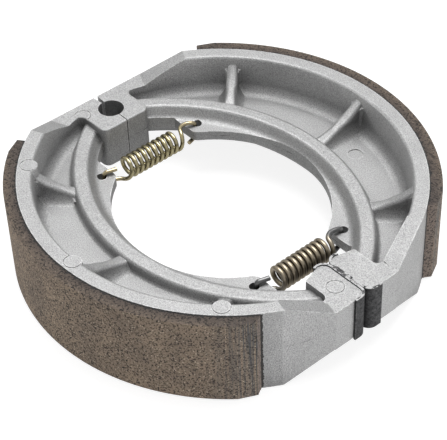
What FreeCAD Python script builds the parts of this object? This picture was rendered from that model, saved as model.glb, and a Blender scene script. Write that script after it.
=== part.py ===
import FreeCAD, Part
import math
import os

# Rear drum brake shoe set, closed as it lies off the vehicle: two cast shoes with
# bonded linings, held together by two coil springs. Millimetres, +Z up.
# The origin is under the middle of the set, on the surface that it lies on.
# The anchor pin's hole is at -X, the cam faces are at +X.
# The front shoe lies at -Y. The rear shoe is the same shoe turned over about X.

# Friction surface and lining
drum_radius = 65.0
lining_thickness = 3.7
lining_setback = 0.3
lining_anchor_angle = 36.8
lining_cam_angle = 34.6
lining_taper_length = 5.5
lining_taper_depth = 1.1
lining_end_slant = 1.2
bond_gap = 0.04

# Rim and web of the casting
shoe_width = 28.0
rim_thickness = 4.4
rim_edge_radius = 0.8
rim_draft = 0.5
floor_fillet = 3.6
web_thickness = 3.2
# How far the web reaches inwards from the rim
web_reach = 22.0
ledge_shift = -0.8
# How far each shoe's arc centre lies past the middle while the set is closed
arc_offset = 3.8

# Inner rib, an arc flatter than the rim, and its distance from the rim at mid-arc
rib_flattening = 0.7
rib_inset = 15.5
rib_shift = -1.0
rib_top_width = 4.5
rib_height = 10.0
rib_inner_slope = 2.3
rib_outer_slope = 0.5
rib_edge_radius = 1.3
rib_inner_foot_radius = 2.6
rib_outer_foot_radius = 1.2
# How far the rib's ends run into the end pads, as a share of their depth
rib_end_share = 0.9

# Radial ribs, with a hollow top that runs down from the rim to the inner rib
radial_rib_count = 3
radial_rib_first_angle = 44.0
radial_rib_step = 44.2
radial_rib_width = 3.4
radial_rib_base_width = 8.4
radial_rib_drop = 1.5
radial_rib_hollow = 1.4
radial_rib_draft = 0.15
radial_rib_waist_share = 0.45
radial_rib_edge_radius = 1.3
radial_rib_end_radius = 1.8

# End pads, thinner than the rim
pad_thickness = 14.0
pad_edge_radius = 0.5
pad_root = 2.2
end_spare_angle = 2.0
# Faces that lie closer than this count as one where solids join
join_tolerance = 0.001
anchor_pad_depth = 8.8
anchor_pad_corner = 2.2
cam_pad_depth = 9.2
cam_pad_length = 16.6
cam_wall_thickness = 5.4
cam_inner_slant = 2.3

# Anchor pin hole, shared by both shoes
pin_diameter = 8.0
pin_inset = 9.8
pin_boss_wall = 3.8
pin_inner_wall = 3.9
seam_gap = 0.15
opening_angle = 9.0

# Sloping shoulders between the rim and the pads
anchor_shoulder_angle = 32.7
anchor_shoulder_turn = 24.0
anchor_shoulder_run = 13.7
cam_shoulder_angle = 29.2
cam_shoulder_turn = 16.0
cam_shoulder_run = 14.5

# Spring tabs. The insets are from the web's inner edge to the holes
tab_edge = 3.5
tab_corner_radius = 2.6
tab_hole_diameter = 3.0
anchor_tab_inset = 4.268
anchor_tab_y = 18.5
cam_tab_inset = 4.14
cam_tab_y = 16.9

# Marks of the ejector pins: rings on one face, a shallow dish in a pocket of the other
ejector_diameter = 5.2
ejector_inset = 3.2
ejector_groove = 0.25
ejector_land = 3.8
anchor_mark_x = 3.1
anchor_mark_depth = 8.5
cam_mark_x = 7.3
cam_mark_depth = 4.9
pocket_mark_diameter = 4.6
pocket_mark_depth = 0.3
pocket_mark_inset = 8.6
pocket_mark_angle = 77.2

# Steel clips over the cam faces
clip_thickness = 0.7
clip_overhang = 0.4
clip_gap = 0.05
clip_seat_gap = 0.03
clip_outer_flange = 4.9
clip_inner_flange = 4.4
clip_corner_radius = 3.0

# Coil springs
anchor_spring_wire = 1.3
anchor_spring_diameter = 7.3
anchor_spring_turns = 9.5
anchor_spring_body = 18.2
anchor_spring_knee = 2.4
anchor_spring_shift = 0.2
cam_spring_wire = 1.5
cam_spring_diameter = 7.6
cam_spring_turns = 9.5
cam_spring_body = 17.3
cam_spring_knee = 1.4
cam_spring_shift = 0.9
hook_bend = 1.5
hook_tip = 2.3
hook_tip_lean = 1.3
hook_swing = 1.4
hook_clearance = 0.06
wire_sides = 8
coil_steps = 16

# Worked out from the values above
rim_outer = drum_radius - lining_thickness
rim_inner = rim_outer - rim_thickness
ledge_radius = rim_inner - web_reach
rib_curve_radius = rim_outer + rib_flattening
rib_mid_radius = rim_inner - rib_inset
ejector_radius = rim_outer - ejector_inset
pocket_mark_radius = rim_inner - pocket_mark_inset
lining_width = shoe_width - 2 * lining_setback
clip_width = pad_thickness + 2 * clip_overhang
clip_inner_radius = clip_corner_radius - clip_thickness
middle = shoe_width / 2
web_top = middle + web_thickness / 2
pad_top = middle + pad_thickness / 2
rib_top = middle + rib_height / 2
pin_x = -(rim_outer - pin_inset)
pin_radius = pin_diameter / 2
anchor_end = pin_x - pin_radius - pin_boss_wall
anchor_pad_inner = pin_x + pin_radius + pin_inner_wall
# The set reaches as far past the middle at the cam as at the anchor
cam_end = -anchor_end - clip_thickness - clip_seat_gap
cam_pad_inner = cam_end - cam_pad_length
cam_face = clip_gap + clip_thickness + clip_seat_gap
rib_centre = FreeCAD.Vector(rib_shift, arc_offset - rib_mid_radius + rib_curve_radius, 0)
arc_centre = FreeCAD.Vector(0, arc_offset, 0)
ledge_centre = FreeCAD.Vector(ledge_shift, arc_offset, 0)
up = FreeCAD.Vector(0, 0, 1)


def on_ledge_arc(side, y, radius):
    """Where a circle about the ledge's centre crosses a depth, at the anchor (-1) or cam (1) side."""
    return ledge_shift + side * math.sqrt(radius ** 2 - (y + arc_offset) ** 2)


anchor_tab_x = on_ledge_arc(-1, anchor_tab_y, ledge_radius + anchor_tab_inset)
cam_tab_x = on_ledge_arc(1, cam_tab_y, ledge_radius + cam_tab_inset)


def polar(radius, angle, height=0.0):
    """A point of the front shoe, by radius and angle about its arc centre."""
    turn = math.radians(angle)
    return arc_centre + FreeCAD.Vector(radius * math.cos(turn), radius * math.sin(turn), height)


def prism(points, bottom, top):
    """An upright solid over a plan outline of (x, y) points."""
    corners = [FreeCAD.Vector(x, y, bottom) for x, y in points]
    face = Part.Face(Part.makePolygon(corners + corners[:1]))
    return face.extrude(FreeCAD.Vector(0, 0, top - bottom))


def rounded_face(corners):
    """A flat face over an outline of (point, corner radius)."""
    spots = []
    for index, (point, radius) in enumerate(corners):
        back = (corners[index - 1][0] - point).normalize()
        ahead = (corners[(index + 1) % len(corners)][0] - point).normalize()
        half_angle = back.getAngle(ahead) / 2
        run = radius / math.tan(half_angle)
        bulge = (back + ahead).normalize() * (radius / math.sin(half_angle) - radius)
        spots.append((point + back * run, point + bulge, point + ahead * run))
    edges = []
    for index, (first, bulge, last) in enumerate(spots):
        following = spots[(index + 1) % len(spots)][0]
        if first != last:
            edges.append(Part.Arc(first, bulge, last).toShape())
        if not last.isEqual(following, 0.001):
            edges.append(Part.LineSegment(last, following).toShape())
    return Part.Face(Part.Wire(edges))


def rounded_prism(corners, bottom, top):
    """An upright solid over a plan outline of (x, y, corner radius)."""
    face = rounded_face([(FreeCAD.Vector(x, y, bottom), radius) for x, y, radius in corners])
    return face.extrude(FreeCAD.Vector(0, 0, top - bottom))


def turned_over(shape):
    """The same shape on the other face of the casting."""
    return shape.mirror(FreeCAD.Vector(0, 0, middle), up)


def both_faces(shape):
    """The shape and its copy on the other face."""
    return shape.fuse(turned_over(shape))


def fillet_where(shape, radius, wanted):
    """Rounds the edges that a test picks out."""
    return shape.makeFillet(radius, [edge for edge in shape.Edges if wanted(edge)])


def is_upright_at(edge, x, y):
    box = edge.BoundBox
    return abs(box.Center.x - x) < 0.1 and abs(box.Center.y - y) < 0.1 and box.XLength + box.YLength < 0.01


def section_face(points, arcs):
    """A closed section in radius and height. An arc is (first corner, its middle point)."""
    edges = []
    for index, start in enumerate(points):
        end = points[(index + 1) % len(points)]
        if index in arcs:
            edges.append(Part.Arc(start, arcs[index], end).toShape())
        else:
            edges.append(Part.LineSegment(start, end).toShape())
    return Part.Face(Part.Wire(edges))


def revolved(face, centre, first_angle, last_angle):
    """Turns a section about an upright axis between two angles."""
    face = face.copy()
    face.rotate(centre, up, first_angle)
    return face.revolve(centre, up, last_angle - first_angle)


def rim_and_web():
    """The rim with its rounded inner edge, the fillet at its foot and the web."""
    wall_foot = rim_inner - rim_draft
    bend = math.sqrt(0.5)
    fillet = min(floor_fillet, shoe_width - web_top - rim_edge_radius)
    half = [
        (rim_outer, shoe_width),
        (rim_inner + rim_edge_radius, shoe_width),
        (rim_inner, shoe_width - rim_edge_radius),
        (wall_foot, web_top + fillet),
        (wall_foot - fillet, web_top),
        (ledge_radius - abs(ledge_shift), web_top),
    ]
    middles = {
        1: (rim_inner + rim_edge_radius * (1 - bend), shoe_width - rim_edge_radius * (1 - bend)),
        3: (wall_foot - fillet * (1 - bend), web_top + fillet * (1 - bend)),
    }
    count = 2 * len(half)
    outline = half + [(radius, shoe_width - height) for radius, height in reversed(half)]
    arcs = dict(middles)
    for index, (radius, height) in middles.items():
        arcs[count - 2 - index] = (radius, shoe_width - height)
    place = lambda point: arc_centre + FreeCAD.Vector(point[0], 0, point[1])
    face = section_face([place(point) for point in outline], {key: place(point) for key, point in arcs.items()})
    body = revolved(face, arc_centre, end_spare_angle - 180, -end_spare_angle)
    return body.cut(Part.makeCylinder(ledge_radius, shoe_width, ledge_centre))


def tab_ends(shape):
    """Cuts the ledge off square at the spring tabs and rounds the tabs' corners."""
    under_rib = rib_curve_radius - rib_top_width - rib_inner_slope
    inside = Part.makeCylinder(under_rib, shoe_width, rib_centre)
    reach = 2 * drum_radius
    for side, hole_y in ((-1, anchor_tab_y), (1, cam_tab_y)):
        end = hole_y - tab_edge
        left = -reach if side < 0 else 0
        block = Part.makeBox(reach, reach, shoe_width, FreeCAD.Vector(left, -end, 0))
        shape = shape.cut(block.common(inside))
        corner_x = on_ledge_arc(side, end, ledge_radius)
        shape = fillet_where(shape, tab_corner_radius, lambda edge: is_upright_at(edge, corner_x, -end))
    return shape


def inner_rib():
    """The low bead round the inside, steep outside, and sloping down to the ledge inside."""
    outer = rib_curve_radius
    inner = outer - rib_top_width
    outer_foot = outer + rib_outer_slope
    inner_foot = inner - rib_inner_slope
    skirt = 2 * rib_inner_foot_radius
    outline = [
        (inner_foot - skirt, middle, 0), (inner_foot - skirt, web_top, 0),
        (inner_foot, web_top, rib_inner_foot_radius), (inner, rib_top, rib_edge_radius),
        (outer, rib_top, rib_edge_radius), (outer_foot, web_top, rib_outer_foot_radius),
        (outer_foot + skirt, web_top, 0), (outer_foot + skirt, middle, 0),
    ]
    face = rounded_face([(rib_centre + FreeCAD.Vector(radius, 0, height), bend) for radius, height, bend in outline])
    hidden = rib_end_share * min(anchor_pad_depth, cam_pad_depth)
    end_angle = math.degrees(math.asin((rib_centre.y + hidden) / outer))
    rib = revolved(face, rib_centre, end_angle - 180, -end_angle)
    past_ledge = Part.makeCylinder(ledge_radius, shoe_width, ledge_centre)
    return both_faces(rib).cut(past_ledge)


def rib_distance(angle, radius):
    """How far from the arc centre a circle about the rib's centre lies, at an angle."""
    turn = math.radians(angle)
    offset = arc_centre - rib_centre
    along = offset.x * math.cos(turn) + offset.y * math.sin(turn)
    return math.sqrt(along ** 2 - offset.Length ** 2 + radius ** 2) - along


def radial_rib(angle):
    """One radial rib: its hollow-topped side view crossed with its flared section."""
    start = rib_distance(angle, rib_curve_radius - rib_top_width / 2)
    end = rim_inner + rim_thickness / 4
    foot = rib_top - rib_edge_radius
    head = shoe_width - radial_rib_drop
    at = lambda radius, height: FreeCAD.Vector(radius, 0, height)
    hollow = at((start + end) / 2, (foot + head) / 2 - radial_rib_hollow)
    points = [at(start, middle), at(start, foot), at(end, head), at(end, middle)]
    side_view = section_face(points, {1: hollow})
    width = radial_rib_base_width
    side_view.translate(FreeCAD.Vector(0, -width, 0))
    side_solid = side_view.extrude(FreeCAD.Vector(0, 2 * width, 0))
    across = lambda offset, height: FreeCAD.Vector(start, offset, height)
    draft = radial_rib_draft
    crest = radial_rib_width / 2
    base = radial_rib_base_width / 2
    waist = (crest + base) / 2 - (base - crest) / 4
    knee_height = rib_top + radial_rib_drop
    waist_height = web_top + (rib_top - web_top) * radial_rib_waist_share
    outline = [
        across(-base, middle), across(-base, web_top), across(-crest - draft, knee_height),
        across(-crest + draft, shoe_width), across(crest - draft, shoe_width),
        across(crest + draft, knee_height), across(base, web_top), across(base, middle),
    ]
    arcs = {1: across(-waist, waist_height), 5: across(waist, waist_height)}
    section = section_face(outline, arcs)
    rib = section.extrude(FreeCAD.Vector(end - start, 0, 0)).common(side_solid)
    on_crest = lambda edge: edge.BoundBox.ZMin > foot - 0.01 and edge.BoundBox.XLength > radial_rib_width
    rib = fillet_where(rib, radial_rib_edge_radius, on_crest)
    flare = radial_rib_end_radius
    near = rib_distance(angle, rib_curve_radius)
    lowered = side_solid.copy()
    lowered.translate(FreeCAD.Vector(0, 0, -radial_rib_edge_radius))
    ends = rounded_prism([
        (start, -crest - flare, 0), (near, -crest - flare, 0), (near, -crest, flare),
        (rim_inner, -crest, flare), (rim_inner, -crest - flare, 0), (end, -crest - flare, 0),
        (end, crest + flare, 0), (rim_inner, crest + flare, 0), (rim_inner, crest, flare),
        (near, crest, flare), (near, crest + flare, 0), (start, crest + flare, 0),
    ], middle, shoe_width)
    rib = rib.fuse(ends.common(lowered))
    rib.rotate(FreeCAD.Vector(), up, angle)
    rib.translate(arc_centre)
    return both_faces(rib)


def radial_rib_angles():
    return [-(radial_rib_first_angle + radial_rib_step * index) for index in range(radial_rib_count)]


def anchor_pad():
    """The block round the anchor pin, up to the rim, with rounded corners."""
    tip = polar(rim_outer, anchor_shoulder_angle - 180)
    lean = math.radians(90 - anchor_shoulder_angle)
    straight = (tip.x - anchor_end) / math.cos(lean)
    outside = tip.y + straight * math.sin(lean)
    depth = anchor_pad_depth
    rim_x = -math.sqrt(rim_inner ** 2 - (depth + pad_root + arc_offset) ** 2)
    pad = rounded_prism([
        (anchor_end, 0, 0), (anchor_pad_inner, 0, 0), (anchor_pad_inner, -depth, anchor_pad_corner),
        (rim_x, -depth, pad_root), (rim_x, -depth - 1.5 * pad_root, 0), (anchor_end, -depth - 1.5 * pad_root, 0),
    ], middle - pad_thickness / 2, pad_top)

    def on_edge(edge):
        box = edge.BoundBox
        return box.ZLength < 0.01 and box.XMin > rim_x + 0.1 and box.YMin < -0.01

    pad = fillet_where(pad, pad_edge_radius, on_edge)
    wall = rim_outer - rim_thickness / 2
    far = polar(wall, anchor_shoulder_angle - 180)
    near = polar(wall, anchor_shoulder_angle / 2 - 180)
    shoulder = prism([
        (tip.x, tip.y), (anchor_end, outside), (anchor_end, 0), (polar(wall, 2 * end_spare_angle - 180).x, 0),
        (near.x, near.y), (far.x, far.y),
    ], 0, shoe_width)
    return pad.fuse(shoulder)


def cam_pad():
    """The block behind the cam face, rounded as its clip is, and the thick wall beside its pocket."""
    depth = cam_pad_depth
    slant = cam_inner_slant
    wall_x = cam_end - cam_wall_thickness
    corner = clip_inner_radius - clip_seat_gap
    foot = depth + pad_root + pad_edge_radius
    pad = rounded_prism([
        (cam_end, -cam_face, corner), (cam_pad_inner, -cam_face, corner),
        (cam_pad_inner + slant, -depth, pad_edge_radius), (wall_x, -depth, pad_root),
        (wall_x, -foot, 0), (cam_end, -foot, 0),
    ], middle - pad_thickness / 2, pad_top)
    start = polar(rim_inner, -cam_shoulder_angle)
    wall = prism([
        (wall_x, -depth - pad_root), (start.x, start.y), (cam_end - rim_thickness / 2, start.y),
        (cam_end, -depth - pad_root),
    ], 0, shoe_width)
    return pad.fuse(wall)


def shoulder_cut(point, turn, run):
    """What is cut away over a shoulder: a slope from the rim down to the pad's level."""
    reach = 1.5 * rim_outer
    rise = 2.0
    profile = [
        (0, shoe_width), (run, pad_top), (reach, pad_top), (reach, shoe_width + rise), (0, shoe_width + rise),
    ]
    corners = [FreeCAD.Vector(-reach / 3, along, height) for along, height in profile]
    cut = Part.Face(Part.makePolygon(corners + corners[:1])).extrude(FreeCAD.Vector(2 * reach / 3, 0, 0))
    cut.rotate(FreeCAD.Vector(), up, turn)
    cut.translate(point)
    return both_faces(cut)


def outside_trim():
    """What lies past the anchor end, the cam end and the flat beside the cam end."""
    reach = 2 * drum_radius
    tall = 2 * shoe_width
    far = polar(rim_outer, -cam_shoulder_angle)
    corner_y = -(cam_pad_depth + pad_root)
    past_anchor = Part.makeBox(reach, 2 * reach, tall, FreeCAD.Vector(anchor_end - reach, -reach, -middle))
    past_cam = Part.makeBox(reach, 2 * reach, tall, FreeCAD.Vector(cam_end, -reach, -middle))
    beside_cam = prism([(far.x, far.y), (cam_end, corner_y), (reach, corner_y), (reach, far.y)], -1, shoe_width + 1)
    return past_anchor.fuse([past_cam, beside_cam])


def seam_trim():
    """What lies past the seam: flat at the cam, opened by a wedge outside the anchor pin."""
    reach = 2 * drum_radius
    relief = math.tan(math.radians(opening_angle / 2)) * (reach + pin_x)
    anchor_side = prism([
        (-reach, -seam_gap - relief), (pin_x, -seam_gap), (0, -seam_gap), (0, reach), (-reach, reach),
    ], -1, shoe_width + 1)
    cam_side = prism([(0, -cam_face), (reach, -cam_face), (reach, reach), (0, reach)], -1, shoe_width + 1)
    return anchor_side.fuse(cam_side)


def cam_corner_trim():
    """What lies past the rounded corner of the cam face, where the clip's roll goes."""
    corner = clip_inner_radius - clip_seat_gap
    centre = FreeCAD.Vector(cam_end - corner, -cam_face - corner, 0)
    block = Part.makeBox(corner, corner, shoe_width, centre)
    return block.cut(Part.makeCylinder(corner, shoe_width, centre))


def ejector_bosses():
    """Round lands where the radial ribs meet the rim, level with the rim's edge."""
    lands = []
    for angle in radial_rib_angles():
        place = polar(ejector_radius, angle, shoe_width - ejector_land)
        lands.append(Part.makeCylinder(ejector_diameter / 2, ejector_land, place))
    return lands


def ejector_grooves():
    """The fine ring that each ejector pin leaves on the top face."""
    places = [polar(ejector_radius, angle, shoe_width) for angle in radial_rib_angles()]
    places.append(FreeCAD.Vector(pin_x - anchor_mark_x, -anchor_mark_depth, pad_top))
    places.append(FreeCAD.Vector(cam_end - cam_mark_x, -cam_mark_depth, pad_top))
    grooves = []
    for place in places:
        low = place - up * ejector_groove
        ring = Part.makeCylinder(ejector_diameter / 2, 2 * ejector_groove, low)
        grooves.append(ring.cut(Part.makeCylinder(ejector_diameter / 2 - ejector_groove, 2 * ejector_groove, low)))
    return grooves


def pocket_mark():
    """The shallow dish that an ejector pin left in a pocket of the lower face."""
    place = polar(pocket_mark_radius, -pocket_mark_angle, middle - web_thickness / 2)
    return Part.makeCylinder(pocket_mark_diameter / 2, 2 * pocket_mark_depth, place - up * pocket_mark_depth)


def front_shoe():
    """The front shoe's casting."""
    body = tab_ends(rim_and_web().fuse(inner_rib()))
    parts = [anchor_pad(), cam_pad()] + [radial_rib(angle) for angle in radial_rib_angles()]
    body = body.fuse(parts, join_tolerance)
    rim_middle = rim_outer - rim_thickness / 2
    anchor_point = polar(rim_middle, anchor_shoulder_angle - 180)
    cam_point = polar(rim_middle, -cam_shoulder_angle)
    body = body.cut([
        shoulder_cut(anchor_point, anchor_shoulder_turn, anchor_shoulder_run),
        shoulder_cut(cam_point, -cam_shoulder_turn, cam_shoulder_run),
        outside_trim(),
        seam_trim(),
        cam_corner_trim(),
        Part.makeCylinder(pin_radius, shoe_width, FreeCAD.Vector(pin_x, 0, 0)),
    ])
    body = body.fuse(ejector_bosses(), join_tolerance)
    holes = [
        Part.makeCylinder(tab_hole_diameter / 2, shoe_width, FreeCAD.Vector(anchor_tab_x, -anchor_tab_y, 0)),
        Part.makeCylinder(tab_hole_diameter / 2, shoe_width, FreeCAD.Vector(cam_tab_x, -cam_tab_y, 0)),
    ]
    body = body.cut(holes + ejector_grooves() + [pocket_mark()])
    return body.removeSplitter()


def rear_copy(shape):
    """The rear shoe's piece: the front one turned over about the X axis."""
    copy = shape.copy()
    copy.rotate(FreeCAD.Vector(0, 0, middle), FreeCAD.Vector(1, 0, 0), 180)
    return copy


def front_lining():
    """The bonded friction lining, thinned towards both ends."""
    inner = rim_outer + bond_gap
    low = middle - lining_width / 2
    high = middle + lining_width / 2
    at = lambda radius, height: arc_centre + FreeCAD.Vector(radius, 0, height)
    corners = [at(inner, low), at(drum_radius, low), at(drum_radius, high), at(inner, high)]
    face = Part.Face(Part.makePolygon(corners + corners[:1]))
    lining = revolved(face, arc_centre, lining_anchor_angle - 180, -lining_cam_angle)
    taper_turn = math.degrees(lining_taper_length / drum_radius)
    slant_turn = math.degrees(lining_end_slant / drum_radius)
    for end, inward, slant in ((lining_anchor_angle - 180, 1, 0), (-lining_cam_angle, -1, slant_turn)):
        outside = end - inward * taper_turn / 2
        wedge = prism([(p.x, p.y) for p in (
            polar(inner, end),
            polar(drum_radius - lining_taper_depth, end + inward * slant),
            polar(drum_radius, end + inward * (slant + taper_turn)),
            polar(drum_radius + lining_thickness, outside),
            polar(inner, outside),
        )], low - 1, high + 1)
        lining = lining.cut(wedge)
    return lining


def front_clip():
    """The folded steel clip over the cam face and round both ends of the pad."""
    lean = cam_inner_slant / (cam_pad_depth - cam_face)
    sheet = clip_thickness + clip_seat_gap
    low = middle - clip_width / 2
    high = middle + clip_width / 2

    def outline(offset, deeper, corner):
        flange = clip_inner_flange + deeper
        return [
            (cam_pad_inner - offset, -cam_face + offset, corner),
            (cam_end + offset, -cam_face + offset, corner),
            (cam_end + offset, -clip_outer_flange - deeper, 0),
            (cam_pad_inner + lean * (flange - cam_face) - offset, -flange, 0),
        ]

    shell = rounded_prism(outline(sheet, 0, clip_corner_radius), low, high)
    hollow = rounded_prism(outline(clip_seat_gap, 1, clip_inner_radius), low - 1, high + 1)
    return shell.cut(hollow)


def coil_points(radius, turns, body, knee_run):
    """The coil's centreline about the Y axis. Its last half turns open out into the hooks."""
    half_turn = turns * math.pi
    count = round(turns * coil_steps)
    route = []
    for index in range(count + 1):
        angle = half_turn * (2 * index / count - 1)
        route.append((angle, body / 2 * angle / half_turn))
    pitch_share = body / (4 * turns * knee_run)
    for index in range(1, coil_steps // 2 + 1):
        share = 2 * index / coil_steps
        run = knee_run * (pitch_share * share + (1 - pitch_share) * share ** 2)
        route.append((half_turn + math.pi * share, body / 2 + run))
        route.insert(0, (-half_turn - math.pi * share, -body / 2 - run))
    return [FreeCAD.Vector(radius * math.cos(angle), along, radius * math.sin(angle)) for angle, along in route]


def hook_points(radius, wire, knee, hole_x, hole_y):
    """The rear hook: from the top of the coil over the tab, down its hole and back below."""
    grip = hole_y - (tab_hole_diameter - wire) / 2 + hook_clearance
    over = web_thickness / 2 + wire / 2 + hook_clearance + hook_bend / 4
    run = grip - knee
    rear = [
        (-hook_swing / 2, knee + run / 8, radius + hook_clearance),
        (-hook_swing, knee + run / 3, (radius + over + wire / 3) / 2),
        (hole_x / 3 - hook_swing * 2 / 3, knee + run * 2 / 3, over + wire / 6),
        (hole_x, grip - hook_bend / 2, over),
        (hole_x, grip - hook_bend / 8, over - hook_bend / 3),
        (hole_x, grip, over - hook_bend),
        (hole_x, grip, hook_bend - over),
        (hole_x, grip - hook_bend / 8, hook_bend / 3 - over),
        (hole_x + hook_tip_lean / 4, grip - hook_bend / 2, -over),
        (hole_x + hook_tip_lean / 2, grip - hook_bend, -over),
        (hole_x + hook_tip_lean, grip - hook_bend - hook_tip, -over),
    ]
    return [FreeCAD.Vector(*point) for point in rear]


def spring(tab_x, hole_y, axis_shift, wire, diameter, turns, body, knee_run):
    """A coil spring along Y, wound and hooked in one sweep of an eight-sided wire."""
    radius = (diameter - wire) / 2
    rear_hook = hook_points(radius, wire, body / 2 + knee_run, -axis_shift, hole_y)
    front_hook = [FreeCAD.Vector(point.x, -point.y, -point.z) for point in reversed(rear_hook)]
    route = front_hook + coil_points(radius, turns, body, knee_run) + rear_hook
    start = route[0]
    corner_radius = wire / 2 / math.sqrt(math.cos(math.pi / wire_sides))
    corners = []
    for index in range(wire_sides):
        turn = 2 * math.pi * index / wire_sides
        corners.append(start + FreeCAD.Vector(corner_radius * math.cos(turn), 0, corner_radius * math.sin(turn)))
    ring = Part.makePolygon(corners + corners[:1])
    coil = Part.makePolygon(route).makePipeShell([ring], True, False, 1)
    coil.translate(FreeCAD.Vector(tab_x + axis_shift, 0, middle))
    return coil


parts = {
    "front_shoe": front_shoe(),
    "front_lining": front_lining(),
    "front_cam_clip": front_clip(),
}
parts["rear_shoe"] = rear_copy(parts["front_shoe"])
parts["rear_lining"] = rear_copy(parts["front_lining"])
parts["rear_cam_clip"] = rear_copy(parts["front_cam_clip"])
parts["anchor_spring"] = spring(
    anchor_tab_x, anchor_tab_y, anchor_spring_shift, anchor_spring_wire,
    anchor_spring_diameter, anchor_spring_turns, anchor_spring_body, anchor_spring_knee)
parts["cam_spring"] = spring(
    cam_tab_x, cam_tab_y, cam_spring_shift, cam_spring_wire,
    cam_spring_diameter, cam_spring_turns, cam_spring_body, cam_spring_knee)

os.makedirs("parts", exist_ok=True)
for name, shape in parts.items():
    shape.exportStep("parts/" + name + ".step")
    box = shape.BoundBox
    print(name, len(shape.Solids), shape.isValid(), round(shape.Volume, 1),
          [round(v, 2) for v in (box.XMin, box.XMax, box.YMin, box.YMax, box.ZMin, box.ZMax)])
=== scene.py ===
import math

import bmesh
import bpy
from mathutils import Matrix, Vector, noise


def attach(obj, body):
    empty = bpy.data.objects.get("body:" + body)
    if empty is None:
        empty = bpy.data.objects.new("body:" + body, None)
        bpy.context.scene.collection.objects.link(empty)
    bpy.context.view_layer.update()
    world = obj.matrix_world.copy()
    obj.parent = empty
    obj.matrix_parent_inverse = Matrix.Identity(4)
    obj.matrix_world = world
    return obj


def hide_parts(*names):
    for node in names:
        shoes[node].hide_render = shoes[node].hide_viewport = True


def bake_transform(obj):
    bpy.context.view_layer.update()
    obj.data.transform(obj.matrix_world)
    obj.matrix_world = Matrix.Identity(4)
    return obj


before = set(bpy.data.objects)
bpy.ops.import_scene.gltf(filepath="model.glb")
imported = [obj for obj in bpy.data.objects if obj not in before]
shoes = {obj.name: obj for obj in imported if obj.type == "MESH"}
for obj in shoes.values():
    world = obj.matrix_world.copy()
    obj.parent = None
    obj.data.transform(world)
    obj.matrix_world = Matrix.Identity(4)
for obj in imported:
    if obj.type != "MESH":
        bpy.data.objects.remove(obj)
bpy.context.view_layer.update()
mm = 0.001


# Shoe castings: pressure die-cast aluminium, tumbled so that the skin is evenly grainy and the
# edges are rubbed brighter, partly as a painted highlight. Release agent leaves darker patches,
# and painted shade darkens the corners of the pockets. Both shoes come out of the same mould.
shoe_width = 28 * mm


def add(tree, kind, **settings):
    """A new node, with its settings and the values of its sockets given by name."""
    node = tree.nodes.new("ShaderNode" + kind)
    for name, value in settings.items():
        if hasattr(node, name):
            setattr(node, name, value)
        else:
            node.inputs[name.replace("_", " ")].default_value = value
    return node


def join(tree, *pairs):
    """Links each output to its input."""
    for source, target in pairs:
        tree.links.new(source, target)


def colour_mix(tree, under=None, over=None):
    """A mix of two colours, of which either may come from another node."""
    mix = add(tree, "Mix", data_type="RGBA")
    if under:
        mix.inputs["A"].default_value = under
    if over:
        mix.inputs["B"].default_value = over
    return mix


def blank_group(name, inputs, outputs):
    """A node group with its sockets, and the two nodes that it is built between."""
    group = bpy.data.node_groups.new(name, "ShaderNodeTree")
    for label, kind, value in inputs:
        socket = group.interface.new_socket(name=label, in_out="INPUT", socket_type="NodeSocket" + kind)
        socket.default_value = value
    for label, kind in outputs:
        group.interface.new_socket(name=label, in_out="OUTPUT", socket_type="NodeSocket" + kind)
    return group, group.nodes.new("NodeGroupInput"), group.nodes.new("NodeGroupOutput")


def place_group(tree, group, **values):
    """A group in a material's tree, with that material's own values."""
    node = tree.nodes.new("ShaderNodeGroup")
    node.node_tree = group
    for name, value in values.items():
        node.inputs[name.replace("_", " ")].default_value = value
    return node


def blank_finish(name):
    """A material with one shader on its output."""
    finish = bpy.data.materials.new(name)
    finish.use_nodes = True
    tree = finish.node_tree
    tree.nodes.clear()
    shader = add(tree, "BsdfPrincipled")
    join(tree, (shader.outputs["BSDF"], add(tree, "OutputMaterial").inputs["Surface"]))
    return finish, tree, shader


def dress(node_name, finish):
    """Gives a CAD piece its finish."""
    mesh = shoes[node_name].data
    mesh.materials.clear()
    mesh.materials.append(finish)


# Rubbed and highlit edges: a lighter colour where the bevelled normal leaves the true one as the
# surface turns sharply, partly real wear and partly a painted highlight.
rubbed_and_highlit_edges, edge_in, edge_out = blank_group(
    "rubbed and highlit edges",
    [("Radius", "Float", 0.6 * mm), ("Patchiness", "Float", 900.0)],
    [("Mask", "Float")])
edge_round = add(rubbed_and_highlit_edges, "Bevel", samples=6)
edge_true = add(rubbed_and_highlit_edges, "NewGeometry")
edge_dot = add(rubbed_and_highlit_edges, "VectorMath", operation="DOT_PRODUCT")
edge_turn = add(rubbed_and_highlit_edges, "MapRange", From_Min=0.995, From_Max=0.86)
edge_where = add(rubbed_and_highlit_edges, "TexCoord")
edge_patch = add(rubbed_and_highlit_edges, "TexNoise", Detail=2.0)
edge_mix = add(rubbed_and_highlit_edges, "Math", operation="MULTIPLY")
edge_keep = add(rubbed_and_highlit_edges, "MapRange", From_Min=0.42, From_Max=0.62, To_Min=0.1, To_Max=0.9)
join(
    rubbed_and_highlit_edges,
    (edge_in.outputs["Radius"], edge_round.inputs["Radius"]),
    (edge_round.outputs["Normal"], edge_dot.inputs[0]),
    (edge_true.outputs["Normal"], edge_dot.inputs[1]),
    (edge_dot.outputs["Value"], edge_turn.inputs["Value"]),
    (edge_where.outputs["Object"], edge_patch.inputs["Vector"]),
    (edge_in.outputs["Patchiness"], edge_patch.inputs["Scale"]),
    (edge_patch.outputs["Fac"], edge_keep.inputs["Value"]),
    (edge_turn.outputs["Result"], edge_mix.inputs[0]),
    (edge_keep.outputs["Result"], edge_mix.inputs[1]),
    (edge_mix.outputs["Value"], edge_out.inputs["Mask"]))

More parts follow.
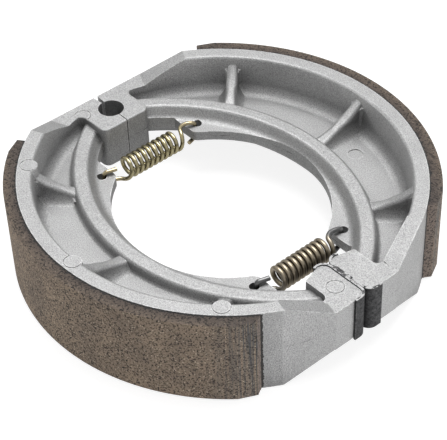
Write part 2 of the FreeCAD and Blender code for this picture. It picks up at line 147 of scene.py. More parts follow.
# Grain: a fine and a coarse noise in one height, with the fine one also as flecks.
grain, grain_in, grain_out = blank_group(
    "grain",
    [("Fine", "Float", 3000.0), ("Coarse", "Float", 700.0), ("Coarse share", "Float", 0.35)],
    [("Height", "Float"), ("Flecks", "Float")])
grain_where = add(grain, "TexCoord")
grain_fine = add(grain, "TexNoise", Detail=3.0, Roughness=0.6)
grain_coarse = add(grain, "TexNoise", Detail=2.0)
grain_mix = add(grain, "Mix", data_type="FLOAT")
grain_flecks = add(grain, "MapRange", From_Min=0.3, From_Max=0.7)
join(
    grain,
    (grain_where.outputs["Object"], grain_fine.inputs["Vector"]),
    (grain_where.outputs["Object"], grain_coarse.inputs["Vector"]),
    (grain_in.outputs["Fine"], grain_fine.inputs["Scale"]),
    (grain_in.outputs["Coarse"], grain_coarse.inputs["Scale"]),
    (grain_in.outputs["Coarse share"], grain_mix.inputs["Factor"]),
    (grain_fine.outputs["Fac"], grain_mix.inputs["A"]),
    (grain_coarse.outputs["Fac"], grain_mix.inputs["B"]),
    (grain_fine.outputs["Fac"], grain_flecks.inputs["Value"]),
    (grain_mix.outputs["Result"], grain_out.inputs["Height"]),
    (grain_flecks.outputs["Result"], grain_out.inputs["Flecks"]))

# Painted shade: darker where the surface is shut in by its neighbours, broken up by a noise.
painted_recess_shade, shade_in, shade_out = blank_group(
    "painted recess shade",
    [("Reach", "Float", 6 * mm), ("Patchiness", "Float", 300.0)],
    [("Mask", "Float")])
shade_occlusion = add(painted_recess_shade, "AmbientOcclusion", samples=8)
shade_where = add(painted_recess_shade, "TexCoord")
shade_patch = add(painted_recess_shade, "TexNoise", Detail=4.0)
shade_depth = add(painted_recess_shade, "MapRange", From_Min=0.85, From_Max=0.25)
shade_break = add(painted_recess_shade, "MapRange", From_Min=0.3, From_Max=0.65, To_Min=0.6)
shade_mix = add(painted_recess_shade, "Math", operation="MULTIPLY")
join(
    painted_recess_shade,
    (shade_in.outputs["Reach"], shade_occlusion.inputs["Distance"]),
    (shade_where.outputs["Object"], shade_patch.inputs["Vector"]),
    (shade_in.outputs["Patchiness"], shade_patch.inputs["Scale"]),
    (shade_occlusion.outputs["AO"], shade_depth.inputs["Value"]),
    (shade_patch.outputs["Fac"], shade_break.inputs["Value"]),
    (shade_depth.outputs["Result"], shade_mix.inputs[0]),
    (shade_break.outputs["Result"], shade_mix.inputs[1]),
    (shade_mix.outputs["Value"], shade_out.inputs["Mask"]))

# Parting line: the die's halves meet at mid-height and leave a fine broken line on the walls.
parting_height = shoe_width / 2
parting_half_width = 0.12 * mm
parting, parting_in, parting_out = blank_group(
    "parting line",
    [
        ("Height", "Float", parting_height),
        ("Half width", "Float", parting_half_width),
        ("Patchiness", "Float", 170.0),
    ],
    [("Mask", "Float")])
parting_where = add(parting, "TexCoord")
parting_split = add(parting, "SeparateXYZ")
parting_gap = add(parting, "Math", operation="COMPARE")
parting_patch = add(parting, "TexNoise", Detail=5.0, Roughness=0.7)
parting_break = add(parting, "MapRange", From_Min=0.5, From_Max=0.62, To_Max=0.8)
parting_mix = add(parting, "Math", operation="MULTIPLY")
join(
    parting,
    (parting_where.outputs["Object"], parting_split.inputs["Vector"]),
    (parting_split.outputs["Z"], parting_gap.inputs[0]),
    (parting_in.outputs["Height"], parting_gap.inputs[1]),
    (parting_in.outputs["Half width"], parting_gap.inputs[2]),
    (parting_where.outputs["Object"], parting_patch.inputs["Vector"]),
    (parting_in.outputs["Patchiness"], parting_patch.inputs["Scale"]),
    (parting_patch.outputs["Fac"], parting_break.inputs["Value"]),
    (parting_gap.outputs["Value"], parting_mix.inputs[0]),
    (parting_break.outputs["Result"], parting_mix.inputs[1]),
    (parting_mix.outputs["Value"], parting_out.inputs["Mask"]))

casting_grey = (0.60, 0.60, 0.60, 1.0)
casting_fleck = (0.22, 0.22, 0.22, 1.0)
# A lighter grey for the edges: partly real rubbing, partly a painted highlight.
casting_edge_wear_and_highlight_tone = (0.72, 0.72, 0.72, 1.0)
# A dark grey for the painted shade in the pockets' corners, which the real parting line also takes.
casting_shade_and_seam_tone = (0.085, 0.085, 0.085, 1.0)
casting_shade_share = 0.6
casting, casting_tree, casting_shader = blank_finish("tumbled die-cast aluminium")
casting_grain = place_group(casting_tree, grain, Fine=3400.0, Coarse=800.0, Coarse_share=0.3)
casting_edge_wear_and_highlight = place_group(casting_tree, rubbed_and_highlit_edges, Radius=0.6 * mm, Patchiness=1300.0)
# Painted shade: an occlusion mask darkens the corners and pockets, where shade falls.
casting_corner_shade = place_group(casting_tree, painted_recess_shade, Reach=8 * mm, Patchiness=260.0)
casting_seam = place_group(
    casting_tree, parting, Height=parting_height, Half_width=parting_half_width, Patchiness=170.0)
casting_where = add(casting_tree, "TexCoord")
casting_flow = add(casting_tree, "TexNoise", Scale=110.0, Detail=3.0)
casting_cloud = add(casting_tree, "MapRange", From_Min=0.3, From_Max=0.7, To_Max=0.22)
casting_speckle = colour_mix(casting_tree, under=casting_fleck, over=casting_grey)
casting_clouded = colour_mix(casting_tree, over=casting_fleck)
casting_shaded_and_seamed = colour_mix(casting_tree, over=casting_shade_and_seam_tone)
casting_rubbed_and_highlit = colour_mix(casting_tree, over=casting_edge_wear_and_highlight_tone)
casting_shade_thinned = add(casting_tree, "Math", operation="MULTIPLY")
casting_shade_thinned.inputs[1].default_value = casting_shade_share
casting_shade_and_seam = add(casting_tree, "Math", operation="MAXIMUM")
casting_rough = add(casting_tree, "MapRange", To_Min=0.5, To_Max=0.4)
casting_depth = add(casting_tree, "Math", operation="SUBTRACT")
casting_skin = add(casting_tree, "Bump", Strength=0.85, Distance=0.2 * mm)
join(
    casting_tree,
    (casting_grain.outputs["Flecks"], casting_speckle.inputs["Factor"]),
    (casting_where.outputs["Object"], casting_flow.inputs["Vector"]),
    (casting_flow.outputs["Fac"], casting_cloud.inputs["Value"]),
    (casting_cloud.outputs["Result"], casting_clouded.inputs["Factor"]),
    (casting_speckle.outputs["Result"], casting_clouded.inputs["A"]),
    (casting_clouded.outputs["Result"], casting_shaded_and_seamed.inputs["A"]),
    (casting_corner_shade.outputs["Mask"], casting_shade_thinned.inputs[0]),
    (casting_shade_thinned.outputs["Value"], casting_shade_and_seam.inputs[0]),
    (casting_seam.outputs["Mask"], casting_shade_and_seam.inputs[1]),
    (casting_shade_and_seam.outputs["Value"], casting_shaded_and_seamed.inputs["Factor"]),
    (casting_shaded_and_seamed.outputs["Result"], casting_rubbed_and_highlit.inputs["A"]),
    (casting_edge_wear_and_highlight.outputs["Mask"], casting_rubbed_and_highlit.inputs["Factor"]),
    (casting_rubbed_and_highlit.outputs["Result"], casting_shader.inputs["Base Color"]),
    (casting_edge_wear_and_highlight.outputs["Mask"], casting_rough.inputs["Value"]),
    (casting_rough.outputs["Result"], casting_shader.inputs["Roughness"]),
    (casting_grain.outputs["Height"], casting_depth.inputs[0]),
    (casting_seam.outputs["Mask"], casting_depth.inputs[1]),
    (casting_depth.outputs["Value"], casting_skin.inputs["Height"]),
    (casting_skin.outputs["Normal"], casting_shader.inputs["Normal"]))
casting_shader.inputs["Metallic"].default_value = 0.75
dress("front_shoe", casting)
dress("rear_shoe", casting)


# Friction linings: moulded fibre and resin with metal flecks, ground on the outside to the
# drum's radius. Pits and pull-outs show in the ground face, and the sawn top and bottom faces
# stay darker. Both ends are tapered by a grinding wheel.
arc_offset = 3.8 * mm
rim_outer = 61.3 * mm

# Place on a shoe: how far from the centre of its arc, how far round from mid-arc, whether the
# face looks to the side, and upright streaks that follow the arc.
streak_fineness = (150.0, 32.0, 1.0)
arc_place, arc_in, arc_out = blank_group(
    "place on the arc",
    [("Centre", "Float", arc_offset)],
    [("Radius", "Float"), ("From middle", "Float"), ("Side face", "Float"), ("Streaks", "Float")])
arc_where = add(arc_place, "TexCoord")
arc_split = add(arc_place, "SeparateXYZ")
arc_sign = add(arc_place, "Math", operation="SIGN")
arc_shift = add(arc_place, "Math", operation="MULTIPLY_ADD")
arc_depth = add(arc_place, "Math", operation="ABSOLUTE")
arc_turn = add(arc_place, "Math", operation="ARCTAN2")
arc_outward = add(arc_place, "VectorMath", operation="NORMALIZE")
arc_normal = add(arc_place, "NewGeometry")
arc_facing = add(arc_place, "VectorMath", operation="DOT_PRODUCT")
arc_aside = add(arc_place, "MapRange", From_Min=0.85, From_Max=0.45)
arc_flat = add(arc_place, "CombineXYZ")
arc_length = add(arc_place, "VectorMath", operation="LENGTH")
arc_middle = add(arc_place, "Math", operation="ABSOLUTE")
arc_upright = add(arc_place, "CombineXYZ")
arc_stretch = add(arc_place, "VectorMath", operation="MULTIPLY")
arc_stretch.inputs[1].default_value = streak_fineness
arc_streaks = add(arc_place, "TexNoise", Scale=1.0, Detail=4.0, Roughness=0.7, Distortion=0.5)
join(
    arc_place,
    (arc_where.outputs["Object"], arc_split.inputs["Vector"]),
    (arc_split.outputs["Y"], arc_sign.inputs[0]),
    (arc_sign.outputs["Value"], arc_shift.inputs[0]),
    (arc_in.outputs["Centre"], arc_shift.inputs[1]),
    (arc_split.outputs["Y"], arc_shift.inputs[2]),
    (arc_shift.outputs["Value"], arc_depth.inputs[0]),
    (arc_split.outputs["X"], arc_turn.inputs[0]),
    (arc_depth.outputs["Value"], arc_turn.inputs[1]),
    (arc_turn.outputs["Value"], arc_middle.inputs[0]),
    (arc_split.outputs["X"], arc_flat.inputs["X"]),
    (arc_shift.outputs["Value"], arc_flat.inputs["Y"]),
    (arc_flat.outputs["Vector"], arc_length.inputs[0]),
    (arc_flat.outputs["Vector"], arc_outward.inputs[0]),
    (arc_outward.outputs["Vector"], arc_facing.inputs[0]),
    (arc_normal.outputs["Normal"], arc_facing.inputs[1]),
    (arc_facing.outputs["Value"], arc_aside.inputs["Value"]),
    (arc_aside.outputs["Result"], arc_out.inputs["Side face"]),
    (arc_turn.outputs["Value"], arc_upright.inputs["X"]),
    (arc_split.outputs["Z"], arc_upright.inputs["Y"]),
    (arc_upright.outputs["Vector"], arc_stretch.inputs[0]),
    (arc_length.outputs["Value"], arc_out.inputs["Radius"]),
    (arc_middle.outputs["Value"], arc_out.inputs["From middle"]),
    (arc_stretch.outputs["Vector"], arc_streaks.inputs["Vector"]),
    (arc_streaks.outputs["Fac"], arc_out.inputs["Streaks"]))

lining_ground = (0.300, 0.229, 0.165, 1.0)
lining_worn = (0.170, 0.131, 0.101, 1.0)
lining_pit = (0.020, 0.016, 0.014, 1.0)
lining_fleck = (0.52, 0.44, 0.34, 1.0)
lining_sawn = (0.080, 0.063, 0.055, 1.0)
lining_end = (0.165, 0.130, 0.110, 1.0)
lining_scuff = (0.062, 0.066, 0.070, 1.0)
lining, lining_tree, lining_shader = blank_finish("ground friction composite")
lining_where = add(lining_tree, "TexCoord")
lining_arc = place_group(lining_tree, arc_place, Centre=arc_offset)
lining_grain = place_group(lining_tree, grain, Fine=1900.0, Coarse=420.0, Coarse_share=0.4)
lining_chips = add(lining_tree, "TexVoronoi", Scale=1000.0)
lining_pits = add(lining_tree, "TexNoise", Scale=1900.0, Detail=3.0, Roughness=0.7)
lining_pit_mask = add(lining_tree, "MapRange", From_Min=0.475, From_Max=0.410)
lining_fleck_mask = add(lining_tree, "MapRange", From_Min=0.25, From_Max=0.14, To_Max=0.85)
lining_tone = add(lining_tree, "TexNoise", Scale=140.0, Detail=4.0, Roughness=0.6)
lining_tone_mask = add(lining_tree, "MapRange", From_Min=0.3, From_Max=0.7, To_Max=0.8)
lining_body = colour_mix(lining_tree, under=lining_ground, over=lining_worn)
lining_spotted = colour_mix(lining_tree, over=lining_fleck)
lining_pitted = colour_mix(lining_tree, over=lining_pit)

# The sawn faces: darkest beside the bond, with a ragged change to the body's own brown.
sawn_dark_radius = rim_outer + 2.1 * mm
sawn_pale_radius = rim_outer + 5.5 * mm
sawn_wander = 4 * mm
lining_ragged = add(lining_tree, "Math", operation="MULTIPLY_ADD")
lining_ragged.inputs[1].default_value = sawn_wander
lining_near_bond = add(
    lining_tree, "MapRange", From_Min=sawn_pale_radius, From_Max=sawn_dark_radius, To_Min=0.55)
lining_face_share = add(lining_tree, "Math", operation="MULTIPLY")
lining_normal = add(lining_tree, "NewGeometry")
lining_up = add(lining_tree, "SeparateXYZ")
lining_flat = add(lining_tree, "Math", operation="ABSOLUTE")
lining_cut = colour_mix(lining_tree, under=lining_end, over=lining_sawn)
lining_faced = colour_mix(lining_tree)

# The tapers at both ends: dark upright marks of the grinding wheel, which start part of the
# way round from mid-arc.
lining_streak_mask = add(lining_tree, "MapRange", From_Min=0.60, From_Max=0.42, To_Max=0.95)
lining_taper = add(lining_tree, "MapRange", From_Min=0.72, From_Max=0.90)
lining_streak_share = add(lining_tree, "Math", operation="MULTIPLY")
lining_streaked = colour_mix(lining_tree, over=lining_scuff)
lining_depth = add(lining_tree, "Math", operation="SUBTRACT")
lining_skin = add(lining_tree, "Bump", Strength=0.8, Distance=0.2 * mm)
join(
    lining_tree,
    (lining_where.outputs["Object"], lining_chips.inputs["Vector"]),
    (lining_where.outputs["Object"], lining_pits.inputs["Vector"]),
    (lining_where.outputs["Object"], lining_tone.inputs["Vector"]),
    (lining_pits.outputs["Fac"], lining_pit_mask.inputs["Value"]),
    (lining_chips.outputs["Distance"], lining_fleck_mask.inputs["Value"]),
    (lining_tone.outputs["Fac"], lining_tone_mask.inputs["Value"]),
    (lining_tone_mask.outputs["Result"], lining_body.inputs["Factor"]),
    (lining_body.outputs["Result"], lining_spotted.inputs["A"]),
    (lining_fleck_mask.outputs["Result"], lining_spotted.inputs["Factor"]),
    (lining_arc.outputs["Streaks"], lining_streak_mask.inputs["Value"]),
    (lining_arc.outputs["From middle"], lining_taper.inputs["Value"]),
    (lining_streak_mask.outputs["Result"], lining_streak_share.inputs[0]),
    (lining_taper.outputs["Result"], lining_streak_share.inputs[1]),
    (lining_spotted.outputs["Result"], lining_streaked.inputs["A"]),
    (lining_streak_share.outputs["Value"], lining_streaked.inputs["Factor"]),
    (lining_tone.outputs["Fac"], lining_ragged.inputs[0]),
    (lining_arc.outputs["Radius"], lining_ragged.inputs[2]),
    (lining_ragged.outputs["Value"], lining_near_bond.inputs["Value"]),
    (lining_arc.outputs["Side face"], lining_face_share.inputs[0]),
    (lining_near_bond.outputs["Result"], lining_face_share.inputs[1]),
    (lining_normal.outputs["Normal"], lining_up.inputs["Vector"]),
    (lining_up.outputs["Z"], lining_flat.inputs[0]),
    (lining_flat.outputs["Value"], lining_cut.inputs["Factor"]),
    (lining_cut.outputs["Result"], lining_faced.inputs["B"]),
    (lining_streaked.outputs["Result"], lining_faced.inputs["A"]),
    (lining_face_share.outputs["Value"], lining_faced.inputs["Factor"]),
    (lining_faced.outputs["Result"], lining_pitted.inputs["A"]),
    (lining_pit_mask.outputs["Result"], lining_pitted.inputs["Factor"]),
    (lining_pitted.outputs["Result"], lining_shader.inputs["Base Color"]),
    (lining_grain.outputs["Height"], lining_depth.inputs[0]),
    (lining_pit_mask.outputs["Result"], lining_depth.inputs[1]),
    (lining_depth.outputs["Value"], lining_skin.inputs["Height"]),
    (lining_skin.outputs["Normal"], lining_shader.inputs["Normal"]))
lining_shader.inputs["Roughness"].default_value = 0.82
dress("front_lining", lining)
dress("rear_lining", lining)


# Bond line: the adhesive that squeezed out between lining and rim and was baked dark. It
# shows as an uneven thin line along both faces of the shoe and across both lining ends.
adhesive_dark = (0.006, 0.006, 0.006, 1.0)
adhesive_brown = (0.030, 0.027, 0.025, 1.0)
adhesive, adhesive_tree, adhesive_shader = blank_finish("baked adhesive")
adhesive_grain = place_group(adhesive_tree, grain, Fine=2400.0, Coarse=600.0, Coarse_share=0.5)
adhesive_tone = colour_mix(adhesive_tree, under=adhesive_dark, over=adhesive_brown)
adhesive_skin = add(adhesive_tree, "Bump", Strength=0.6, Distance=0.1 * mm)
join(
    adhesive_tree,
    (adhesive_grain.outputs["Flecks"], adhesive_tone.inputs["Factor"]),
    (adhesive_tone.outputs["Result"], adhesive_shader.inputs["Base Color"]),
    (adhesive_grain.outputs["Height"], adhesive_skin.inputs["Height"]),
    (adhesive_skin.outputs["Normal"], adhesive_shader.inputs["Normal"]))
adhesive_shader.inputs["Roughness"].default_value = 0.75

# The beads: where they start and end, their sizes, and how far each step walks in the noise.
bond_first = math.radians(34.7)
bond_last = math.radians(143.1)
bond_width = 0.85 * mm
bond_foot = rim_outer + 0.01 * mm
bond_face_inset = 0.3 * mm
bond_face_rise = 0.2 * mm
bond_face_steps = 480
bond_face_walk = (0.24, 900.0, 7.0)
bond_end_inset = 0.4 * mm
bond_end_rise = 0.22 * mm
bond_end_steps = 140
bond_end_walk = (0.12, 9.0, 3.0)


def bond_point(side, radius, turn, height):
    """A place on the front shoe's arc (side -1), or its match on the turned-over rear shoe."""
    x = radius * math.cos(turn)
    y = arc_offset - radius * math.sin(turn)
    if side < 0:
        return Vector((x, y, height))
    return Vector((x, -y, shoe_width - height))


def bond_spot(walk, step, place, side):
    """Where a step of a bead lies in the noise, so that no two beads are alike."""
    return Vector((step * walk[0], place * walk[1], side * walk[2]))


def uneven(spot, middle, swing, least, most, ripple=0.0, ripple_scale=1.0):
    """A size that wanders about its middle with the noise at a spot, and finer ripples."""
    size = middle + swing * noise.noise(spot) + ripple * noise.noise(spot * ripple_scale)
    return max(least, min(most, size))


def bond_section(width, rise, root, lip, crown):
    """The four corners of a bead's section, each as its place across and its height."""
    crest = 0.6 * width
    return (0, -root), (0, rise), (crest, rise * crown), (width, -lip)


def bond_bead(bead, rows):
    """Closes rows of four points into one long bead."""
    for one, two in zip(rows, rows[1:]):
        for index in range(4):
            after = (index + 1) % 4
            bead.faces.new((one[index], one[after], two[after], two[index]))
    bead.faces.new(rows[0])
    bead.faces.new(rows[-1])


def bond_line(name, side, body):
    """Uneven beads where the lining meets the rim: along both faces and across both ends."""
    bead = bmesh.new()
    for low, outward in ((bond_face_inset, -1), (shoe_width - bond_face_inset, 1)):
        rows = []
        for step in range(bond_face_steps + 1):
            turn = bond_first + (bond_last - bond_first) * step / bond_face_steps
            spot = bond_spot(bond_face_walk, step, low, side)
            width = bond_width * uneven(
                spot, middle=0.6, swing=0.9, least=0.2, most=1.4, ripple=0.7, ripple_scale=3.1)
            rise = bond_face_rise * uneven(spot * 2.3, middle=0.7, swing=1.0, least=0.3, most=1.2)
            section = bond_section(width, rise, root=0.1 * mm, lip=0.02 * mm, crown=0.6)
            rows.append([
                bead.verts.new(bond_point(side, bond_foot + out, turn, low + outward * up))
                for out, up in section])
        bond_bead(bead, rows)
    for turn, onward in ((bond_first, -1), (bond_last, 1)):
        rows = []
        for step in range(bond_end_steps + 1):
            height = bond_end_inset + (shoe_width - 2 * bond_end_inset) * step / bond_end_steps
            spot = bond_spot(bond_end_walk, step, turn, side)
            width = bond_width * uneven(
                spot, middle=0.95, swing=0.35, least=0.5, most=2.0, ripple=0.35, ripple_scale=4.3)
            rise = bond_end_rise * uneven(spot * 1.7, middle=1.0, swing=1.0, least=0.4, most=2.0)
            section = bond_section(width, rise, root=0.05 * mm, lip=0.05 * mm, crown=0.7)
            rows.append([
                bead.verts.new(bond_point(
                    side, rim_outer + up, turn + onward * out / rim_outer, height))
                for out, up in section])
        bond_bead(bead, rows)
    bmesh.ops.recalc_face_normals(bead, faces=bead.faces)
    mesh = bpy.data.meshes.new(name)
    bead.to_mesh(mesh)
    bead.free()
    mesh.materials.append(adhesive)
    piece = bpy.data.objects.new(name, mesh)
    bpy.context.scene.collection.objects.link(piece)
    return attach(piece, body)


bond_line("front_bond_line", -1, "front")
bond_line("rear_bond_line", 1, "rear")


# Cam clips: thin spring steel, blanked, folded over the cam face and gripping the pad's ends.
# The sheet is left dull grey, and ragged flash from the casting runs over its two ends.
clip_flash = (0.42, 0.42, 0.42, 1.0)
clip_grey = (0.085, 0.085, 0.087, 1.0)
clip_stain = (0.030, 0.030, 0.031, 1.0)
# A lighter grey for the sheet's edges: partly real rubbing, partly a painted highlight.
clip_edge_wear_and_highlight_tone = (0.30, 0.30, 0.30, 1.0)
clip_steel, clip_tree, clip_shader = blank_finish("dull sheet steel")
clip_grain = place_group(clip_tree, grain, Fine=2300.0, Coarse=900.0, Coarse_share=0.5)
clip_edge_wear_and_highlight = place_group(clip_tree, rubbed_and_highlit_edges, Radius=0.25 * mm, Patchiness=1500.0)
clip_patches = add(clip_tree, "MapRange", From_Min=0.4, From_Max=0.62)
clip_tone = colour_mix(clip_tree, under=clip_stain, over=clip_grey)
clip_rubbed_and_highlit = colour_mix(clip_tree, over=clip_edge_wear_and_highlight_tone)

# The sheet's ends, which face up or down, are where the flash lies.
clip_where = add(clip_tree, "TexCoord")
clip_smears = add(clip_tree, "TexNoise", Scale=620.0, Detail=5.0, Roughness=0.65)
clip_smear_mask = add(clip_tree, "MapRange", From_Min=0.46, From_Max=0.50)
clip_normal = add(clip_tree, "NewGeometry")
clip_facing = add(clip_tree, "SeparateXYZ")
clip_flat = add(clip_tree, "Math", operation="ABSOLUTE")
clip_ends = add(clip_tree, "MapRange", From_Min=0.6, From_Max=0.8)
clip_flash_share = add(clip_tree, "Math", operation="MULTIPLY")
clip_flashed = colour_mix(clip_tree, over=clip_flash)
clip_rough = add(clip_tree, "MapRange", To_Min=0.62, To_Max=0.4)
clip_skin = add(clip_tree, "Bump", Strength=0.4, Distance=0.08 * mm)
join(
    clip_tree,
    (clip_grain.outputs["Height"], clip_patches.inputs["Value"]),
    (clip_patches.outputs["Result"], clip_tone.inputs["Factor"]),
    (clip_tone.outputs["Result"], clip_rubbed_and_highlit.inputs["A"]),
    (clip_edge_wear_and_highlight.outputs["Mask"], clip_rubbed_and_highlit.inputs["Factor"]),
    (clip_where.outputs["Object"], clip_smears.inputs["Vector"]),
    (clip_smears.outputs["Fac"], clip_smear_mask.inputs["Value"]),
    (clip_normal.outputs["Normal"], clip_facing.inputs["Vector"]),
    (clip_facing.outputs["Z"], clip_flat.inputs[0]),
    (clip_flat.outputs["Value"], clip_ends.inputs["Value"]),
    (clip_smear_mask.outputs["Result"], clip_flash_share.inputs[0]),
    (clip_ends.outputs["Result"], clip_flash_share.inputs[1]),
    (clip_rubbed_and_highlit.outputs["Result"], clip_flashed.inputs["A"]),
    (clip_flash_share.outputs["Value"], clip_flashed.inputs["Factor"]),
    (clip_flashed.outputs["Result"], clip_shader.inputs["Base Color"]),
    (clip_patches.outputs["Result"], clip_rough.inputs["Value"]),
    (clip_rough.outputs["Result"], clip_shader.inputs["Roughness"]),
    (clip_grain.outputs["Height"], clip_skin.inputs["Height"]),
    (clip_skin.outputs["Normal"], clip_shader.inputs["Normal"]))
clip_shader.inputs["Metallic"].default_value = 0.8
dress("front_cam_clip", clip_steel)
dress("rear_cam_clip", clip_steel)


# Anchor spring: hard-drawn wire, coiled with open turns and plated yellow. Each hook passes
# over its tab, down the hole and back under it. The coil stretches as the shoes swing apart.
def plated_wire(name, light, dark, hook, hook_start, rough):
    """Wire with a tone of its own on the hooks, and painted shade where the turns shut each other in.
    """
    dull_share = 0.55
    dull = tuple(dull_share * value for value in light[:3]) + (1.0,)
    hook_fade = 2 * mm
    finish, tree, shader = blank_finish(name)
    skin = place_group(tree, grain, Fine=2200.0, Coarse=330.0, Coarse_share=0.65)
    # Painted shade: an occlusion mask lays the dark colour where the turns and hooks shut each other
    # in.
    shut = place_group(tree, painted_recess_shade, Reach=1.6 * mm, Patchiness=600.0)
    tone = colour_mix(tree, under=light, over=dull)
    from_middle = add(tree, "Attribute", attribute_name="from_middle")
    on_hook = add(tree, "MapRange", From_Min=hook_start, From_Max=hook_start + hook_fade)
    hooked = colour_mix(tree, over=hook)
    shaded_turn_gaps = colour_mix(tree, over=dark)
    bump = add(tree, "Bump", Strength=0.25, Distance=0.05 * mm)
    join(
        tree,
        (skin.outputs["Height"], tone.inputs["Factor"]),
        (from_middle.outputs["Fac"], on_hook.inputs["Value"]),
        (tone.outputs["Result"], hooked.inputs["A"]),
        (on_hook.outputs["Result"], hooked.inputs["Factor"]),
        (hooked.outputs["Result"], shaded_turn_gaps.inputs["A"]),
        (shut.outputs["Mask"], shaded_turn_gaps.inputs["Factor"]),
        (shaded_turn_gaps.outputs["Result"], shader.inputs["Base Color"]),
        (skin.outputs["Height"], bump.inputs["Height"]),
        (bump.outputs["Normal"], shader.inputs["Normal"]))
    shader.inputs["Metallic"].default_value = 1.0
    shader.inputs["Roughness"].default_value = rough
    return finish


# The tab's hole and half its thickness, then the hooks' sizes, all in millimetres: their bend,
# the straight tip and how far it leans, the swing at the knee, and the room left round them.
tab_hole = 3.0
tab_half = 1.6
hook_bend = 1.5
hook_tip = 2.3
hook_lean = 1.3
hook_swing = 1.4
hook_clear = 0.06
points_a_turn = 24


def spring_route(hole_x, hole_y, wire, diameter, turns, body, knee_run):
    """Centreline of a hooked coil spring about the Y axis, in millimetres."""
    radius = (diameter - wire) / 2
    half_turn = turns * math.pi
    count = round(turns * points_a_turn)
    coil = []
    for step in range(count + 1):
        angle = half_turn * (2 * step / count - 1)
        coil.append((angle, body / 2 * angle / half_turn))

    # A half turn at each end leaves the coil at its own pitch and steepens towards the hook.
    pitch_share = body / (4 * turns * knee_run)
    knee_points = points_a_turn // 2
    for step in range(1, knee_points + 1):
        share = step / knee_points
        run = knee_run * (pitch_share * share + (1 - pitch_share) * share ** 2)
        coil.append((half_turn + math.pi * share, body / 2 + run))
        coil.insert(0, (-half_turn - math.pi * share, -body / 2 - run))
    middle = [
        Vector((radius * math.cos(angle), along, radius * math.sin(angle)))
        for angle, along in coil]

    # The rear hook rises from the knee over the tab, goes down its hole and turns back under
    # it. The front hook is the same, turned half round.
    knee = body / 2 + knee_run
    grip = hole_y - (tab_hole - wire) / 2 + hook_clear
    over = tab_half + wire / 2 + hook_clear + hook_bend / 4
    run = grip - knee
    rear = [Vector(point) for point in (
        (-hook_swing / 2, knee + run / 8, radius + hook_clear),
        (-hook_swing, knee + run / 3, (radius + over + wire / 3) / 2),
        (hole_x / 3 - hook_swing * 2 / 3, knee + run * 2 / 3, over + wire / 6),
        (hole_x, grip - hook_bend / 2, over),
        (hole_x, grip - hook_bend / 8, over - hook_bend / 3),
        (hole_x, grip, over - hook_bend),
        (hole_x, grip, hook_bend - over),
        (hole_x, grip - hook_bend / 8, hook_bend / 3 - over),
        (hole_x + hook_lean / 4, grip - hook_bend / 2, -over),
        (hole_x + hook_lean / 2, grip - hook_bend, -over),
        (hole_x + hook_lean, grip - hook_bend - hook_tip, -over),
    )]
    front = [Vector((point.x, -point.y, -point.z)) for point in reversed(rear)]
    return front + middle + rear


def coil_spring(node, finish, tab_x, hole_y, shift, wire, diameter, turns, body, knee_run):
    """Smooth round wire along the route, as a mesh in the place of the plain coil."""
    curve = bpy.data.curves.new(node + "_wire", "CURVE")
    curve.dimensions = "3D"
    route = spring_route(-shift, hole_y, wire, diameter, turns, body, knee_run)
    line = curve.splines.new("NURBS")
    line.points.add(len(route) - 1)
    x = tab_x + shift
    mid_height = shoe_width / 2
    centre = Vector((x, 0, mid_height / mm))
    for point, place in zip(line.points, route):
        point.co = (*((place + centre) * mm), 1)
    line.order_u = 4
    line.use_endpoint_u = True
    line.resolution_u = 3
    curve.bevel_depth = wire / 2 * mm
    curve.bevel_resolution = 4
    curve.use_fill_caps = True
    holder = bpy.data.objects.new(node + "_wire", curve)
    bpy.context.scene.collection.objects.link(holder)
    bpy.context.view_layer.update()
    depsgraph = bpy.context.evaluated_depsgraph_get()
    mesh = bpy.data.meshes.new_from_object(holder.evaluated_get(depsgraph))
    bpy.data.objects.remove(holder)
    mesh.name = node + "_wire"
    mesh.materials.clear()
    mesh.materials.append(finish)
    mesh.shade_smooth()

    # The colours ride with the wire: each point keeps its distance from the middle at rest.
    from_middle = mesh.attributes.new("from_middle", "FLOAT", "POINT")
    from_middle.data.foreach_set("value", [abs(vertex.co.y) for vertex in mesh.vertices])
    spring = bpy.data.objects.new(node + "_wire", mesh)
    bpy.context.scene.collection.objects.link(spring)
    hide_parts(node)
    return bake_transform(spring)


# The dark colour here is painted shade between the turns.
yellow_zinc = plated_wire(
    "yellow plated wire", light=(0.62, 0.55, 0.33, 1.0), dark=(0.045, 0.034, 0.018, 1.0),
    hook=(0.55, 0.47, 0.30, 1.0), hook_start=10.5 * mm, rough=0.24)
coil_spring(
    "anchor_spring", yellow_zinc, tab_x=-33.0, hole_y=18.5, shift=0.2,
    wire=1.3, diameter=7.3, turns=9.5, body=18.2, knee_run=2.4)


# Cam spring: thicker oil-tempered wire, wound nearly close, dark from its heat treatment. It
# pulls harder than the anchor spring, to bring the shoes back onto the cam.
# The dark colour here is painted shade between the turns.
dark_wire = plated_wire(
    "oil-tempered wire", light=(0.50, 0.43, 0.32, 1.0), dark=(0.035, 0.029, 0.022, 1.0),
    hook=(0.19, 0.19, 0.19, 1.0), hook_start=9.0 * mm, rough=0.33)
coil_spring(
    "cam_spring", dark_wire, tab_x=32.3, hole_y=16.9, shift=0.9,
    wire=1.5, diameter=7.6, turns=9.5, body=17.3, knee_run=1.4)


# Studio: a pale sheet under the shoes, which carries their soft shadow. The camera sees it
# and the room nearly white, as in a catalogue picture, and so do mirror rays, less strongly.
mirror_share = 0.4


def seen_rays(tree, strength):
    """A strength for camera and clear rays, and a share of it for mirror rays."""
    rays = add(tree, "LightPath")
    seen = add(tree, "Math", operation="MULTIPLY_ADD")
    seen.inputs[1].default_value = mirror_share
    through = add(tree, "Math", operation="MAXIMUM")
    scaled = add(tree, "Math", operation="MULTIPLY")
    scaled.inputs[1].default_value = strength
    join(
        tree,
        (rays.outputs["Is Glossy Ray"], seen.inputs[0]),
        (rays.outputs["Is Camera Ray"], seen.inputs[2]),
        (seen.outputs["Value"], through.inputs[0]),
        (rays.outputs["Is Transmission Ray"], through.inputs[1]),
        (through.outputs["Value"], scaled.inputs[0]))
    return scaled.outputs["Value"]


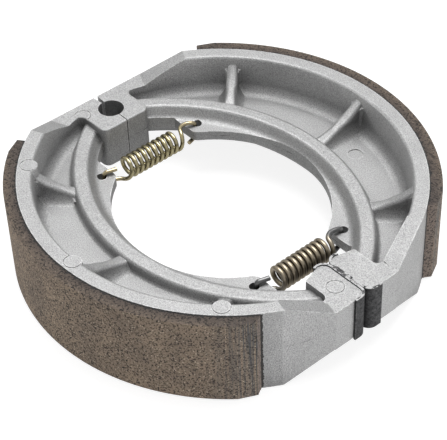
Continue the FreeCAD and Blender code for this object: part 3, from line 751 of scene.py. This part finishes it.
sheet_mesh = bpy.data.meshes.new("studio_sheet")
sheet_low = -0.05 * mm
sheet_half = 3.0
sheet_signs = ((-1, -1), (1, -1), (1, 1), (-1, 1))
sheet_corners = [(across * sheet_half, along * sheet_half, sheet_low) for across, along in sheet_signs]
sheet_mesh.from_pydata(sheet_corners, [], [(0, 1, 2, 3)])
sheet = bpy.data.objects.new("studio_sheet", sheet_mesh)
bpy.context.scene.collection.objects.link(sheet)
paper, paper_tree, paper_shader = blank_finish("studio paper")
paper_shader.inputs["Base Color"].default_value = (0.30, 0.30, 0.30, 1.0)
paper_shader.inputs["Roughness"].default_value = 0.9
paper_shader.inputs["Emission Color"].default_value = (1.0, 1.0, 1.0, 1.0)
join(paper_tree, (seen_rays(paper_tree, strength=0.85), paper_shader.inputs["Emission Strength"]))
sheet_mesh.materials.append(paper)

room = bpy.data.worlds.new("studio room")
bpy.context.scene.world = room
room.use_nodes = True
room_tree = room.node_tree
room_tree.nodes.clear()
room_light = add(room_tree, "Background", Color=(1.0, 1.0, 1.0, 1.0), Strength=0.30)
room_seen = add(room_tree, "Background", Color=(1.0, 1.0, 1.0, 1.0), Strength=1.0)
room_mix = add(room_tree, "MixShader")
join(
    room_tree,
    (seen_rays(room_tree, strength=1.0), room_mix.inputs["Fac"]),
    (room_light.outputs["Background"], room_mix.inputs[1]),
    (room_seen.outputs["Background"], room_mix.inputs[2]),
    (room_mix.outputs["Shader"], add(room_tree, "OutputWorld").inputs["Surface"]))


def soft_box(name, place, aim, size, power):
    """A rectangular lamp that faces what it is aimed at."""
    lamp = bpy.data.lights.new(name, "AREA")
    lamp.shape = "RECTANGLE"
    lamp.size, lamp.size_y = size
    lamp.energy = power
    holder = bpy.data.objects.new(name, lamp)
    holder.location = place
    holder.rotation_euler = (Vector(aim) - Vector(place)).to_track_quat("-Z", "Y").to_euler()
    bpy.context.scene.collection.objects.link(holder)


# One large lamp hangs nearly overhead. Two low strips, just above the shoes, light their outer
# walls from beside the cam and from the front.
shoe_middle = (0, 0, shoe_width / 2)
soft_box("overhead_box", place=(-0.17, 0.21, 1.0), aim=(0, 0, 0), size=(0.9, 0.7), power=10.8)
soft_box("cam_side_box", place=(0.86, 0.22, 0.036), aim=shoe_middle, size=(0.9, 0.06), power=7.5)
soft_box("front_box", place=(-0.55, -0.72, 0.036), aim=shoe_middle, size=(0.8, 0.06), power=4.2)


# Camera: a long lens from the cam side, well above the shoes, as in the photograph. It looks
# at a point beside the set's middle, and is tilted a little about its own axis.
eye_back = Vector((0.575, -0.480, 0.662)).normalized()
level_right = Vector((0.641, 0.768, 0.0)).normalized()
level_up = eye_back.cross(level_right)
tilt = math.radians(-2.18)
eye_right = level_right * math.cos(tilt) + level_up * math.sin(tilt)
eye_up = level_up * math.cos(tilt) - level_right * math.sin(tilt)
eye_aim = Vector((4.75, -3.87, 14.0)) * mm
eye_distance = 444.86 * mm
eye_spot = eye_aim + eye_back * eye_distance
lens = bpy.data.cameras.new("catalogue_camera")
lens.sensor_fit = "HORIZONTAL"
lens.sensor_width = 36.0
lens.lens = 125.0
lens.clip_start = 0.01
lens.clip_end = 20.0
camera = bpy.data.objects.new("catalogue_camera", lens)
camera.matrix_world = Matrix((
    (eye_right.x, eye_up.x, eye_back.x, eye_spot.x),
    (eye_right.y, eye_up.y, eye_back.y, eye_spot.y),
    (eye_right.z, eye_up.z, eye_back.z, eye_spot.z),
    (0, 0, 0, 1)))
bpy.context.scene.collection.objects.link(camera)
bpy.context.scene.camera = camera
bpy.context.scene.view_settings.view_transform = "Standard"
